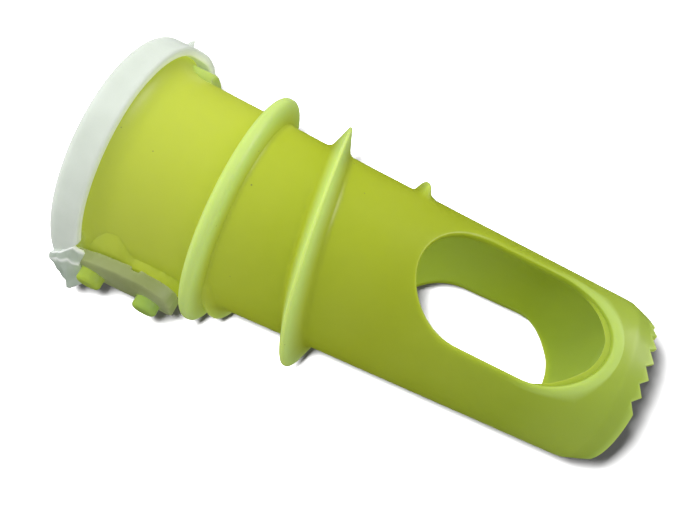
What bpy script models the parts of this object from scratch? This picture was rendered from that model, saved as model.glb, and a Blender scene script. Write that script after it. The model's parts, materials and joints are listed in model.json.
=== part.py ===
"""Screw-in vent body with a hinged flap cap, lying on its side.

Frame: +X runs along the bore from the flap to the toothed tip, +Z is the
outward normal of the upper window, the hinge and its strap are on -Y and the
pull tab is on +Y. The origin is the centre of the flap's outer face.
"""
import math

import bmesh
import bpy
from mathutils import Matrix, Vector

MM = 0.001

# Driving dimensions
LENGTH = 110.0 * MM
GAP = 0.3 * MM                      # air kept between pieces that touch
WALL = 2.0 * MM
MOUTH_RADIUS = 20.85 * MM           # the tube's cone, carried on to the mouth plane
WAIST_X = 45.0 * MM
WAIST_RADIUS = 19.1 * MM
TIP_RADIUS = 16.75 * MM             # the tube's cone, carried on to the tip plane
ROUND_STEPS = 72                    # facets round a turned piece
ROUND_EDGE_STEPS = 6                # facets over a rounded edge or fillet
BLOCK_STEPS = 10                    # facets along a block that follows the tube

# Flap cap
CAP_RADIUS = 25.5 * MM
CAP_THICKNESS = 1.8 * MM
SKIRT_END = 6.0 * MM
SKIRT_INNER_RADIUS = 23.6 * MM
CAP_EDGE_ROUND = 1.4 * MM
NOTCH_HALF_WIDTH = 8.5 * MM         # the skirt stops either side of the hinge

# Mouth collar, the seat that the flap closes on
COLLAR_START = CAP_THICKNESS + GAP
COLLAR_RADIUS = SKIRT_INNER_RADIUS - GAP
COLLAR_LAND_END = 5.0 * MM
COLLAR_END = 9.85 * MM
COLLAR_CHAMFER = 0.5 * MM
COLLAR_RELIEF = 0.1 * MM            # how far the collar is cut below the tube's cone, under pad and lug

# Tapered tube and its two windows
TUBE_START = COLLAR_END + GAP
TUBE_END = 104.0 * MM
WINDOW_X = 82.4 * MM
WINDOW_HALF_LENGTH = 18.95 * MM
WINDOW_HALF_WIDTH = 10.8 * MM
WINDOW_END_LENGTH = 12.6 * MM       # length of each rounded end
WINDOW_END_STEPS = 20

# Toothed tip
TOOTH_COUNT = 7                       # in each of two opposed arcs, with a smooth lip between them
TOOTH_PITCH = math.radians(13)
TOOTH_DEPTH = 1.6 * MM
TOOTHED_ARC_STARTS = (math.radians(120), math.radians(300))   # angles run from +Z towards -Y
TOOTH_FLANK = math.radians(5.3)       # arc taken by a tooth's short, steep flank
RIM_RADIUS = 15.2 * MM
RIM_WALL = 1.3 * MM
SHOULDER_LENGTH = 2.0 * MM
ROOT_SHARE = 0.4                      # where the tooth roots lie between rim and shoulder
LIP_STEPS = 18                        # facets along each smooth lip

# Stop ring
RING_START = 25.4 * MM
RING_END = 29.0 * MM
RING_RADIUS = 24.5 * MM
RING_CREST_HEIGHT = 1.2 * MM
RING_CREST_HALF_WIDTH = 1.45 * MM

# Screw thread, right-handed
THREAD_X = 43.67 * MM               # where it crosses the +Z side
THREAD_PITCH = 18.6 * MM
THREAD_RADIUS = 24.45 * MM
THREAD_HALF_WIDTH = 2.2 * MM
THREAD_CREST_HALF_WIDTH = 0.35 * MM
THREAD_START = math.radians(-235)
THREAD_FADE = math.radians(120)
THREAD_END = math.radians(312)
THREAD_RUN_IN = math.radians(12)
THREAD_STEP = math.radians(7)
THREAD_START_HEIGHT = 0.3           # shares of the full height at its two ends
THREAD_END_HEIGHT = 0.4

# Strap, its pad and its pegs, on -Y
PAD_END = 25.0 * MM
PAD_MARGIN = 0.8 * MM               # how much wider than the strap the pad is, on each side
PAD_MIDDLE = math.radians(90)
PAD_HALF_ARC = math.radians(22)     # the collar is cut away over this arc, clear of the pad
PAD_FACE = 21.9 * MM                # distances from the axis
STRAP_INNER = PAD_FACE + GAP
STRAP_OUTER = 24.6 * MM
STRAP_START = 4.6 * MM
STRAP_HALF_WIDTH = 5.2 * MM         # at the hinge
STRAP_BELLY_X = 13.5 * MM           # where the tongue is widest
STRAP_BELLY_HALF_WIDTH = 7.4 * MM
STRAP_TIP_HALF_WIDTH = 3.4 * MM
STRAP_SECTIONS = 14
STRAP_ARC_STEPS = 8
PEG_RADIUS = 2.5 * MM
PEG_TIP = 27.5 * MM
PEG_X = (8.2 * MM, 20.2 * MM)
PEG_EDGE = 0.5 * MM
PEG_STEPS = 24
PEG_REACH = 0.6 * MM                # how far the holes' cutters start inside the pad's face

# Living hinge
HINGE_X = 5.4 * MM                  # near the skirt's edge, so that the skirt swings clear of the collar
HINGE_Y = -25.0 * MM
HINGE_WEB_INNER = 23.2 * MM
HINGE_WEB_OUTER = 25.0 * MM
HINGE_WEB_EDGE = 0.3 * MM

# Latch lug and pull tab, two arcs on +Y
LATCH_MIDDLE = math.radians(-90)
LUG_START = SKIRT_END + GAP
LUG_END = 10.6 * MM
LUG_HALF_ARC = math.radians(20)
LUG_RADIUS = 23.0 * MM
TAB_END = 8.5 * MM
TAB_HALF_ARC = math.radians(21)

# Colour, roughness and transmission
LIME = ((0.52, 0.66, 0.03, 1.0), 0.38, 0.15)
MILKY = ((0.86, 0.90, 0.88, 1.0), 0.42, 0.3)


def tube_radius(x):
    """Outer radius of the tapered tube at x: two straight cones that meet at the waist."""
    if x < WAIST_X:
        share = x / WAIST_X
        return MOUTH_RADIUS + (WAIST_RADIUS - MOUTH_RADIUS) * share
    share = (x - WAIST_X) / (LENGTH - WAIST_X)
    return WAIST_RADIUS + (TIP_RADIUS - WAIST_RADIUS) * share


def around_axis(x, radius, angle):
    """A point at this angle about the axis, measured from +Z towards -Y."""
    return Vector((x, -radius * math.sin(angle), radius * math.cos(angle)))


def make_material(name, colour, roughness, transmission):
    material = bpy.data.materials.new(name)
    material.use_nodes = True
    material.diffuse_color = colour
    shader = material.node_tree.nodes["Principled BSDF"]
    shader.inputs["Base Color"].default_value = colour
    shader.inputs["Roughness"].default_value = roughness
    shader.inputs["Metallic"].default_value = 0.0
    shader.inputs["Transmission Weight"].default_value = transmission
    return material


def add_mesh(name, builder, collection, material=None):
    """A new object from a bmesh."""
    bmesh.ops.recalc_face_normals(builder, faces=builder.faces)
    mesh = bpy.data.meshes.new(name)
    builder.to_mesh(mesh)
    builder.free()
    new_object = bpy.data.objects.new(name, mesh)
    collection.objects.link(new_object)
    if material:
        mesh.materials.append(material)
    return new_object


def shade_round(new_object):
    new_object.data.shade_smooth()
    new_object.data.set_sharp_from_angle(angle=math.radians(35))


def add_turned(name, profile, closed, collection, material):
    """A solid of revolution about +X. The profile is (x, radius) pairs that
    run from the flap end to the tip end along its outer side."""
    builder = bmesh.new()
    points = [builder.verts.new((radius, 0.0, x)) for x, radius in reversed(profile)]
    for first, second in zip(points, points[1:]):
        builder.edges.new((first, second))
    if closed:
        builder.edges.new((points[-1], points[0]))
    mesh = bpy.data.meshes.new(name)
    builder.to_mesh(mesh)
    builder.free()
    new_object = bpy.data.objects.new(name, mesh)
    new_object.rotation_euler = (0.0, math.radians(90), 0.0)
    collection.objects.link(new_object)
    mesh.materials.append(material)
    turn = new_object.modifiers.new("turn", "SCREW")
    turn.axis = "Z"
    turn.angle = math.radians(360)
    turn.steps = ROUND_STEPS
    turn.render_steps = ROUND_STEPS
    turn.use_merge_vertices = True
    turn.merge_threshold = 0.00001
    turn.use_smooth_shade = False
    return new_object


def add_box(name, low, high, collection, material=None):
    builder = bmesh.new()
    size = [top - bottom for bottom, top in zip(low, high)]
    middle = [(top + bottom) / 2 for bottom, top in zip(low, high)]
    bmesh.ops.create_cube(builder, size=1.0)
    bmesh.ops.scale(builder, vec=size, verts=builder.verts)
    bmesh.ops.translate(builder, vec=middle, verts=builder.verts)
    return add_mesh(name, builder, collection, material)


def add_round_bar(name, x, radius, near, far, collection, material=None):
    """A cylinder along -Y, between two distances from the tube's axis."""
    builder = bmesh.new()
    bmesh.ops.create_cone(builder, cap_ends=True, segments=PEG_STEPS,
                          radius1=radius, radius2=radius, depth=far - near)
    bmesh.ops.rotate(builder, matrix=Matrix.Rotation(math.radians(90), 3, "X"), verts=builder.verts)
    bmesh.ops.translate(builder, vec=(x, -(near + far) / 2, 0.0), verts=builder.verts)
    return add_mesh(name, builder, collection, material)


def add_bevel(new_object, width, segments=2):
    bevel = new_object.modifiers.new("edges", "BEVEL")
    bevel.width = width
    bevel.segments = segments
    bevel.limit_method = "ANGLE"
    bevel.angle_limit = math.radians(50)


def cut(new_object, *cutter_list):
    for cutter in cutter_list:
        boolean = new_object.modifiers.new("cut", "BOOLEAN")
        boolean.operation = "DIFFERENCE"
        boolean.solver = "EXACT"
        boolean.object = cutter


def mark_cutter(cutter):
    cutter.hide_render = True
    cutter.display_type = "WIRE"
    return cutter


def arc(centre, radius_x, radius_y, start_deg, end_deg, steps):
    """Points of an elliptical arc, as (x, radius) pairs."""
    points = []
    for step in range(steps + 1):
        angle = math.radians(start_deg + (end_deg - start_deg) * step / steps)
        points.append((centre[0] + radius_x * math.cos(angle), centre[1] + radius_y * math.sin(angle)))
    return points


def loft(sections, closed_round):
    """A bmesh skin over rings of points that have the same count."""
    builder = bmesh.new()
    rings = [[builder.verts.new(point) for point in section] for section in sections]
    pairs = list(zip(rings, rings[1:]))
    if closed_round:
        pairs.append((rings[-1], rings[0]))
    for ring, following in pairs:
        for index in range(len(ring)):
            after = (index + 1) % len(ring)
            builder.faces.new((ring[index], ring[after], following[after], following[index]))
    if not closed_round:
        builder.faces.new(rings[0])
        builder.faces.new(list(reversed(rings[-1])))
    return builder


def add_arc_block(name, profile, middle, half_arc, collection, material=None):
    """A block that follows the tube round an arc: this (x, radius) outline, swept about the axis."""
    sections = []
    for step in range(BLOCK_STEPS + 1):
        angle = middle - half_arc + 2 * half_arc * step / BLOCK_STEPS
        sections.append([around_axis(x, radius, angle) for x, radius in profile])
    return add_mesh(name, loft(sections, False), collection, material)


def room_profile(start):
    """What is cut from the collar, from x = start on, so that a block can sit on the tube's cone."""
    end = COLLAR_END + GAP
    low = [(x, tube_radius(x) - COLLAR_RELIEF) for x in (start, end)]
    return low + [(end, CAP_RADIUS), (start, CAP_RADIUS)]


def add_window_cutter(collection):
    """A long round-ended prism along Z, through both walls."""
    straight = WINDOW_HALF_LENGTH - WINDOW_END_LENGTH
    size = (WINDOW_END_LENGTH, WINDOW_HALF_WIDTH)
    outline = arc((WINDOW_X + straight, 0.0), *size, -90, 90, WINDOW_END_STEPS)
    outline += arc((WINDOW_X - straight, 0.0), *size, 90, 270, WINDOW_END_STEPS)
    builder = bmesh.new()
    depth = CAP_RADIUS
    face = builder.faces.new([builder.verts.new((x, y, -depth)) for x, y in outline])
    grown = bmesh.ops.extrude_face_region(builder, geom=[face])
    top = [item for item in grown["geom"] if isinstance(item, bmesh.types.BMVert)]
    bmesh.ops.translate(builder, vec=(0.0, 0.0, 2 * depth), verts=top)
    return mark_cutter(add_mesh("window_cutter", builder, collection))


def add_tube(parts, cutters, lime):
    profile = [(x, tube_radius(x)) for x in (TUBE_START, WAIST_X, TUBE_END)]
    profile += [(x, tube_radius(x) - WALL) for x in (TUBE_END, WAIST_X, TUBE_START)]
    tube = add_turned("tapered_tube", profile, True, parts, lime)
    cut(tube, add_window_cutter(cutters))


def add_collar(parts, cutters, lime):
    neck = tube_radius(COLLAR_END)
    bore_mouth = tube_radius(COLLAR_START) - WALL
    profile = [(COLLAR_START, COLLAR_RADIUS - COLLAR_CHAMFER)]
    profile += [(COLLAR_START + COLLAR_CHAMFER, COLLAR_RADIUS)]
    flare = COLLAR_END - COLLAR_LAND_END
    profile += arc((COLLAR_END, COLLAR_RADIUS), flare, COLLAR_RADIUS - neck, 180, 270, ROUND_EDGE_STEPS)
    profile += [(COLLAR_END, neck - WALL), (COLLAR_START, bore_mouth)]
    collar = add_turned("mouth_collar", profile, True, parts, lime)
    pad_room = room_profile(0.0)
    lug_room = room_profile(LUG_START - GAP)
    lug_half = LUG_HALF_ARC + GAP / COLLAR_RADIUS
    cut(collar, mark_cutter(add_arc_block("pad_room", pad_room, PAD_MIDDLE, PAD_HALF_ARC, cutters)),
        mark_cutter(add_arc_block("lug_room", lug_room, LATCH_MIDDLE, lug_half, cutters)))


def rim_x(angle):
    """Where the rim ends at this angle: teeth with a short steep flank and a long
    one, and a plain lip over the smooth arcs."""
    for start in TOOTHED_ARC_STARTS:
        along = (angle - start) % (2 * math.pi)
        if along < TOOTH_COUNT * TOOTH_PITCH:
            place = along % TOOTH_PITCH
            drop = min(place / TOOTH_FLANK, (TOOTH_PITCH - place) / (TOOTH_PITCH - TOOTH_FLANK))
            return LENGTH - TOOTH_DEPTH * drop
    return LENGTH


def tip_angles():
    """Angles of the tip's sections: every tooth's peak and root, and even steps between."""
    lip_length = math.pi - TOOTH_COUNT * TOOTH_PITCH
    long_flank = TOOTH_PITCH - TOOTH_FLANK
    angles = []
    for arc_start in TOOTHED_ARC_STARTS:
        for tooth in range(TOOTH_COUNT):
            peak = arc_start + tooth * TOOTH_PITCH
            root = peak + TOOTH_FLANK
            angles += [peak, root, root + long_flank / 3, root + 2 * long_flank / 3]
        lip_start = arc_start + TOOTH_COUNT * TOOTH_PITCH
        angles += [lip_start + lip_length * step / LIP_STEPS for step in range(LIP_STEPS)]
    return angles


def add_tip(parts, lime):
    start = TUBE_END + GAP
    shoulder = start + SHOULDER_LENGTH
    root = LENGTH - TOOTH_DEPTH
    root_radius = RIM_RADIUS + ROOT_SHARE * (tube_radius(shoulder) - RIM_RADIUS)
    sections = []
    for angle in tip_angles():
        end = rim_x(angle)
        outer = root_radius + (RIM_RADIUS - root_radius) * (end - root) / (LENGTH - root)
        profile = [(start, tube_radius(start)), (shoulder, tube_radius(shoulder)), (root - GAP, root_radius)]
        profile += [(end, outer), (end, outer - RIM_WALL), (start, tube_radius(start) - WALL)]
        sections.append([around_axis(x, radius, angle) for x, radius in profile])
    shade_round(add_mesh("toothed_tip", loft(sections, True), parts, lime))


def add_stop_ring(parts, lime):
    crest_x = (RING_START + RING_END) / 2
    crest = (crest_x, RING_RADIUS - RING_CREST_HEIGHT)
    profile = [(RING_START, tube_radius(RING_START) + GAP)]
    profile += arc(crest, RING_CREST_HALF_WIDTH, RING_CREST_HEIGHT, 180, 30, ROUND_EDGE_STEPS)
    profile += [(RING_END, crest[1]), (RING_END, tube_radius(RING_END) + GAP)]
    add_turned("stop_ring", profile, True, parts, lime)


def thread_height(angle):
    """Share of the thread's full height at this angle."""
    if angle < THREAD_START + THREAD_RUN_IN:
        return THREAD_START_HEIGHT + (1.0 - THREAD_START_HEIGHT) * (angle - THREAD_START) / THREAD_RUN_IN
    if angle < THREAD_FADE:
        return 1.0
    return 1.0 - (1.0 - THREAD_END_HEIGHT) * (angle - THREAD_FADE) / (THREAD_END - THREAD_FADE)


def add_thread(parts, lime):
    steps = round((THREAD_END - THREAD_START) / THREAD_STEP)
    sections = []
    for step in range(steps + 1):
        angle = THREAD_START + (THREAD_END - THREAD_START) * step / steps
        height = thread_height(angle)
        middle = THREAD_X + THREAD_PITCH * angle / (2 * math.pi)
        half = THREAD_HALF_WIDTH * (1.0 + height) / 2
        root = tube_radius(middle - half) + GAP
        crest = root + (THREAD_RADIUS - root) * height
        profile = [(middle - half, root), (middle - THREAD_CREST_HALF_WIDTH, crest)]
        profile += [(middle + THREAD_CREST_HALF_WIDTH, crest), (middle + half, root)]
        sections.append([around_axis(x, radius, angle) for x, radius in profile])
    shade_round(add_mesh("screw_thread", loft(sections, False), parts, lime))


def strap_half_width(x):
    """Half the tongue's width: it swells from the hinge to its belly, then rounds off to its tip."""
    if x < STRAP_BELLY_X:
        share = max((STRAP_BELLY_X - x) / (STRAP_BELLY_X - STRAP_START), 0.0)
        return STRAP_BELLY_HALF_WIDTH - (STRAP_BELLY_HALF_WIDTH - STRAP_HALF_WIDTH) * min(share, 1.0) ** 2
    share = (x - STRAP_BELLY_X) / (PAD_END - STRAP_BELLY_X)
    return STRAP_BELLY_HALF_WIDTH - (STRAP_BELLY_HALF_WIDTH - STRAP_TIP_HALF_WIDTH) * share ** 2


def add_tongue(name, start, margin, inner_radius, outer_radius, collection, material):
    """A plate with the strap's outline, wrapped round the tube. The two radii are functions of x."""
    sections = []
    for step in range(STRAP_SECTIONS + 1):
        x = start + (PAD_END - start) * step / STRAP_SECTIONS
        inner, outer = inner_radius(x), outer_radius(x)
        half_arc = math.asin((strap_half_width(x) + margin) / outer)
        turns = [2 * turn / STRAP_ARC_STEPS - 1 for turn in range(STRAP_ARC_STEPS + 1)]
        angles = [PAD_MIDDLE + half_arc * turn for turn in turns]
        section = [around_axis(x, outer, angle) for angle in angles]
        section += [around_axis(x, inner, angle) for angle in reversed(angles)]
        sections.append(section)
    return add_mesh(name, loft(sections, False), collection, material)


def add_pad_and_pegs(parts, cutters, lime):
    add_tongue("strap_pad", COLLAR_START, PAD_MARGIN,
               lambda x: tube_radius(x) + GAP, lambda x: PAD_FACE, parts, lime)
    holes = []
    for number, x in enumerate(PEG_X):
        name = ("front_strap_peg", "rear_strap_peg")[number]
        peg = add_round_bar(name, x, PEG_RADIUS, PAD_FACE + GAP, PEG_TIP, parts, lime)
        add_bevel(peg, PEG_EDGE)
        near = PAD_FACE - GAP - PEG_REACH
        hole = add_round_bar(name + "_hole", x, PEG_RADIUS + GAP, near, PEG_TIP + GAP, cutters)
        holes.append(mark_cutter(hole))
    return holes


def add_strap(parts, holes, milky):
    strap = add_tongue("retaining_strap", STRAP_START, 0.0,
                       lambda x: STRAP_INNER, lambda x: STRAP_OUTER, parts, milky)
    cut(strap, *holes)


def add_hinge_web(parts, milky):
    low = (COLLAR_START, -HINGE_WEB_OUTER, -STRAP_HALF_WIDTH)
    high = (STRAP_START - GAP, -HINGE_WEB_INNER, STRAP_HALF_WIDTH)
    add_bevel(add_box("hinge_web", low, high, parts, milky), HINGE_WEB_EDGE, 1)


def add_lug(parts, lime):
    profile = [(x, tube_radius(x) + GAP) for x in (LUG_START, LUG_END)]
    profile += [(LUG_END, LUG_RADIUS), (LUG_START, LUG_RADIUS)]
    add_arc_block("latch_lug", profile, LATCH_MIDDLE, LUG_HALF_ARC, parts, lime)


def add_flap(parts, cutters, milky):
    """The cap and its pull tab, which turn about the living hinge."""
    hinge = bpy.data.objects.new("flap_hinge", None)
    hinge.location = (HINGE_X, HINGE_Y, 0.0)
    parts.objects.link(hinge)
    edge = CAP_EDGE_ROUND
    small = edge / 2
    profile = [(0.0, 0.0)]
    profile += arc((edge, CAP_RADIUS - edge), edge, edge, 180, 90, 4)
    profile += arc((SKIRT_END - small, CAP_RADIUS - small), small, small, 90, 0, 2)
    profile += [(SKIRT_END, SKIRT_INNER_RADIUS), (CAP_THICKNESS, SKIRT_INNER_RADIUS), (CAP_THICKNESS, 0.0)]
    cap = add_turned("flap_cap", profile, False, parts, milky)
    low = (CAP_THICKNESS, -2 * CAP_RADIUS, -NOTCH_HALF_WIDTH)
    high = (2 * SKIRT_END, 0.0, NOTCH_HALF_WIDTH)
    cut(cap, mark_cutter(add_box("hinge_notch", low, high, cutters)))
    start = SKIRT_END + GAP
    inner = SKIRT_INNER_RADIUS
    outline = [(start, inner), (TAB_END, inner), (TAB_END, CAP_RADIUS), (start, CAP_RADIUS)]
    tab = add_arc_block("pull_tab", outline, LATCH_MIDDLE, TAB_HALF_ARC, parts, milky)
    for piece in (cap, tab):
        piece.parent = hinge
        piece.matrix_parent_inverse = Matrix.Translation(hinge.location).inverted()


def main():
    for old in list(bpy.data.objects):
        bpy.data.objects.remove(old, do_unlink=True)
    parts = bpy.data.collections.new("screw_in_vent")
    cutters = bpy.data.collections.new("cutters")
    bpy.context.scene.collection.children.link(parts)
    bpy.context.scene.collection.children.link(cutters)
    lime = make_material("lime_plastic", *LIME)
    milky = make_material("milky_plastic", *MILKY)
    add_tube(parts, cutters, lime)
    add_collar(parts, cutters, lime)
    add_tip(parts, lime)
    add_stop_ring(parts, lime)
    add_thread(parts, lime)
    holes = add_pad_and_pegs(parts, cutters, lime)
    add_strap(parts, holes, milky)
    add_hinge_web(parts, milky)
    add_lug(parts, lime)
    add_flap(parts, cutters, milky)


main()
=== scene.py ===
"""The looks of the screw-in vent body: one lime moulding, and one milky soft flap valve.

Lengths are in millimetres in the design values and turned to metres where meshes are made.
Angles run about the bore (+X) from +Z, the upper window's side, towards -Y, the strap's side.
"""
import json
import math

import bmesh
import bpy
from mathutils import Matrix, Vector, noise

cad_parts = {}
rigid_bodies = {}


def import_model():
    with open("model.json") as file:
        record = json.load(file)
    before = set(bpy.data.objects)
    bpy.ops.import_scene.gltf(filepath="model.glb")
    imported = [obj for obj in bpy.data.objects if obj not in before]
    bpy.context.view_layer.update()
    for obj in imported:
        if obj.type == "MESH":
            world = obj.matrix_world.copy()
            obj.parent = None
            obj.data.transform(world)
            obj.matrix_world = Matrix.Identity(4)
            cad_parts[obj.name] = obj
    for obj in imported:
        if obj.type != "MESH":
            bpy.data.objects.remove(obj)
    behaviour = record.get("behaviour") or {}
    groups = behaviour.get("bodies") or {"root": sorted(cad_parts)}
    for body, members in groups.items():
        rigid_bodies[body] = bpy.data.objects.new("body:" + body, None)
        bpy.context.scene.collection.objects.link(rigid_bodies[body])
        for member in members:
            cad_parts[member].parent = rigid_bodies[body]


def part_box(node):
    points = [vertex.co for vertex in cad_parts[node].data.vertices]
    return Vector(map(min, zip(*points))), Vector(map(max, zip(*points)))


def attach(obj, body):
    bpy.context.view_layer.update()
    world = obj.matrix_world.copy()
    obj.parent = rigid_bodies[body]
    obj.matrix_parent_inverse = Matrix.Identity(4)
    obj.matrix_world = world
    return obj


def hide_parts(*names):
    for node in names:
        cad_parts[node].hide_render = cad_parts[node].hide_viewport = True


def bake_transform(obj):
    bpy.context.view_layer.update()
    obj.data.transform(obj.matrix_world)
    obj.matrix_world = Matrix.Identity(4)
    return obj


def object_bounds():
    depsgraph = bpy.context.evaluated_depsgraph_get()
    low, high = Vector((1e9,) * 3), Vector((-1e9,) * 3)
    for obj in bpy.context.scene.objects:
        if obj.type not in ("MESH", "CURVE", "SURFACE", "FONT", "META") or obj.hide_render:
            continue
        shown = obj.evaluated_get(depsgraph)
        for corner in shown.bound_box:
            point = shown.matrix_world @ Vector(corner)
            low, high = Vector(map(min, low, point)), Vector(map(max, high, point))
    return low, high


for leftover in list(bpy.data.objects):
    bpy.data.objects.remove(leftover, do_unlink=True)

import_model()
cad_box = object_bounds()

noise.seed_set(7)                     # noise_vector starts from the clock's time without it

MM = 0.001


def corners(node):
    """Lowest and highest corner of a CAD node, in millimetres."""
    low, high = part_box(node)
    return low / MM, high / MM


COLLAR_LOW, COLLAR_HIGH = corners("mouth_collar")
TIP_HIGH = corners("toothed_tip")[1]
RING_LOW, RING_HIGH = corners("stop_ring")
PAD_LOW, PAD_HIGH = corners("strap_pad")
STRAP_LOW, STRAP_HIGH = corners("retaining_strap")
LUG_HIGH = corners("latch_lug")[1]
CAP_HIGH = corners("flap_cap")[1]
TAB_HIGH = corners("pull_tab")[1]
PEGS = [corners("front_strap_peg"), corners("rear_strap_peg")]

# The tube: two straight cones that meet at the waist
MOUTH_RADIUS = 20.85
WAIST_X = 45.0
WAIST_RADIUS = 19.1
TIP_RADIUS = 16.75
WALL = 2.0
LENGTH = TIP_HIGH.x
COLUMNS = 90
STEP = 2 * math.pi / COLUMNS

# The mouth's collar
COLLAR_START = COLLAR_LOW.x
COLLAR_RADIUS = COLLAR_HIGH.z
COLLAR_LAND_END = 5.0
COLLAR_END = COLLAR_HIGH.x
LIP_ROUND = 0.5
PAD_FACE = -PAD_LOW.y
SADDLE_HALF = math.radians(20.5)      # the collar is lowered over this arc, under the pad
SADDLE_RUN_OUT = math.radians(5)

# The stop ring
RING_MIDDLE = (RING_LOW.x + RING_HIGH.x) / 2
RING_HALF = (RING_HIGH.x - RING_LOW.x) / 2
RING_RADIUS = RING_HIGH.z
RING_FILLET = 3.0                     # where the thread starts beside the ring
ROOT_SLOPE = 1.3                      # how fast a ridge's fillet runs out into the tube

# The thread
PITCH = 18.6
THREAD_X = 43.67                      # where the crest crosses the +Z side
THREAD_RADIUS = 24.45
THREAD_HALF = 2.2
THREAD_CREST_HALF = 0.35
THREAD_FILLET = 1.3
CREST_LOSS = 0.5
THREAD_START = math.radians(-292)
THREAD_FULL = math.radians(-212)
THREAD_FADE = math.radians(120)
THREAD_END = math.radians(306)
THREAD_RUN_OUT = math.radians(8)
THREAD_END_HEIGHT = 0.40
ROW = PITCH / COLUMNS                 # the crest moves one row on for each column
DENSE_START = 24.2
DENSE_END = 60.7

# The windows
WINDOW_X = 82.4
WINDOW_HALF_LENGTH = 18.95
WINDOW_HALF_WIDTH = 10.8
WINDOW_END = 12.6
WINDOW_COLUMNS = 12                   # columns of the patch each side of a window's middle
WINDOW_ROUND = 1.35
WINDOW_ROUND_TIP = 1.9                # the window's end towards the tip is rounder
WINDOW_ROUND_MOUTH = 0.45             # and its other end sharper
WINDOW_INNER_ROUND = 0.4
WINDOW_DRAFT = 1.0                    # how much smaller the window is inside, at its tip end and one side
PATCH_END = 103.6
PATCH_ROWS = 30
PATCH_LOOPS = 3

# The toothed tip
TEETH = 7                             # in each of two opposed arcs
TOOTH_DEPTH = 1.6
TOOTH_PITCH = math.radians(13)
TOOTH_FLANK = math.radians(5.3)       # a tooth's short, steep flank
TOOTHED_STARTS = (math.radians(120), math.radians(300))
SHOULDER = 105.2
ROOT_X = LENGTH - TOOTH_DEPTH - 0.35
RIM_RADIUS = 15.2
RIM_WALL = 1.3
RIM_ROUND = 0.28
ROOT_RADIUS = 15.85                   # outside of the wall at the teeth's roots
RIM_CHAMFER_X = 104.6                 # inside the tip, where the wall starts to thin towards the rim

# The per-point paleness attribute, from 0 to 1: painted glow and highlight on the moulding's crests, rims
# and window edges and on the cap's rim, and real crease whitening on the hinge web
PROUD_FULL = 5.0                      # a ridge this high is painted fully pale at its crest, a painted glow and highlight
# painted highlight along the tip's rim and teeth
RIM_PAINTED_HIGHLIGHT = 0.35
INNER_GLOW = 0.25                     # painted glow: the bore's wall is painted a little paler away from the tip
INNER_GLOW_END = 96.0
INNER_GLOW_FADE = 30.0


def point(x, radius, angle):
    """A point in metres from its place along, away from and around the bore."""
    return Vector((x, -radius * math.sin(angle), radius * math.cos(angle))) * MM


def smooth(share):
    share = min(max(share, 0.0), 1.0)
    return share * share * (3 - 2 * share)


def soft_max(first, second, fillet):
    """The larger of two heights, with a fillet where they meet."""
    near = max(fillet - abs(first - second), 0.0) / fillet
    return max(first, second) + near * near * fillet / 4


def cone_radius(x):
    if x < WAIST_X:
        return MOUTH_RADIUS + (WAIST_RADIUS - MOUTH_RADIUS) * x / WAIST_X
    return WAIST_RADIUS + (TIP_RADIUS - WAIST_RADIUS) * (x - WAIST_X) / (LENGTH - WAIST_X)


def ring_height(x):
    """The ring's rounded crest, gentler on the mouth side than on the tip side."""
    share = abs(x - RING_MIDDLE) / RING_HALF
    if share >= 1.0:
        return (1.0 - share) * RING_HALF * ROOT_SLOPE
    power = 2.3 if x < RING_MIDDLE else 3.4
    return (RING_RADIUS - cone_radius(x)) * (1 - share ** power) ** (1 / power)


def thread_share(turn):
    """Share of the thread's full height at this angle along its helix."""
    if turn < THREAD_START or turn > THREAD_END + THREAD_RUN_OUT:
        return 0.0
    if turn < THREAD_FULL:
        return smooth((turn - THREAD_START) / (THREAD_FULL - THREAD_START))
    if turn < THREAD_FADE:
        return 1.0
    share = 1 - (1 - THREAD_END_HEIGHT) * min((turn - THREAD_FADE) / (THREAD_END - THREAD_FADE), 1.0)
    return share * (1 - smooth((turn - THREAD_END) / THREAD_RUN_OUT))


def thread_height(x, angle):
    """How far the highest of the thread's turns stands out at this place."""
    best = -THREAD_RADIUS
    for lap in (-1, 0, 1):
        turn = angle + 2 * math.pi * lap
        share = thread_share(turn)
        if share <= 0.0:
            continue
        half = THREAD_HALF * (1 + share) / 2
        inside = half - abs(x - THREAD_X - PITCH * turn / (2 * math.pi))
        if inside <= 0.0:
            best = max(best, inside * ROOT_SLOPE)
            continue
        rise = min(inside / (half - THREAD_CREST_HALF), 1.0)
        rounded = rise ** 1.12 - CREST_LOSS * smooth((rise - 0.75) / 0.25) * (1 - rise)
        best = max(best, (THREAD_RADIUS - cone_radius(x)) * share * rounded)
    return best


def collar_radius(x):
    """The collar's land, and the hollow flare down to the tube."""
    if x <= COLLAR_LAND_END:
        return COLLAR_RADIUS
    neck = cone_radius(COLLAR_END)
    share = (COLLAR_END - x) / (COLLAR_END - COLLAR_LAND_END)
    return COLLAR_RADIUS - (COLLAR_RADIUS - neck) * math.sqrt(max(1 - share * share, 0.0))


def outer_radius(x, angle):
    if x < COLLAR_END:
        off = abs(angle - math.radians(90)) - SADDLE_HALF
        saddle = PAD_FACE - 0.1 + (COLLAR_RADIUS - PAD_FACE) * 1.1 * smooth(off / SADDLE_RUN_OUT)
        return min(collar_radius(x), saddle)
    if not DENSE_START < x < DENSE_END + THREAD_HALF:
        return cone_radius(x)
    ridges = soft_max(ring_height(x), thread_height(x, angle), RING_FILLET)
    return cone_radius(x) + soft_max(0.0, ridges, THREAD_FILLET)


def inner_radius(x):
    return cone_radius(x) - WALL


def even(start, end, count):
    """Places from start to end, both included."""
    return [start + (end - start) * index / count for index in range(count + 1)]


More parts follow.
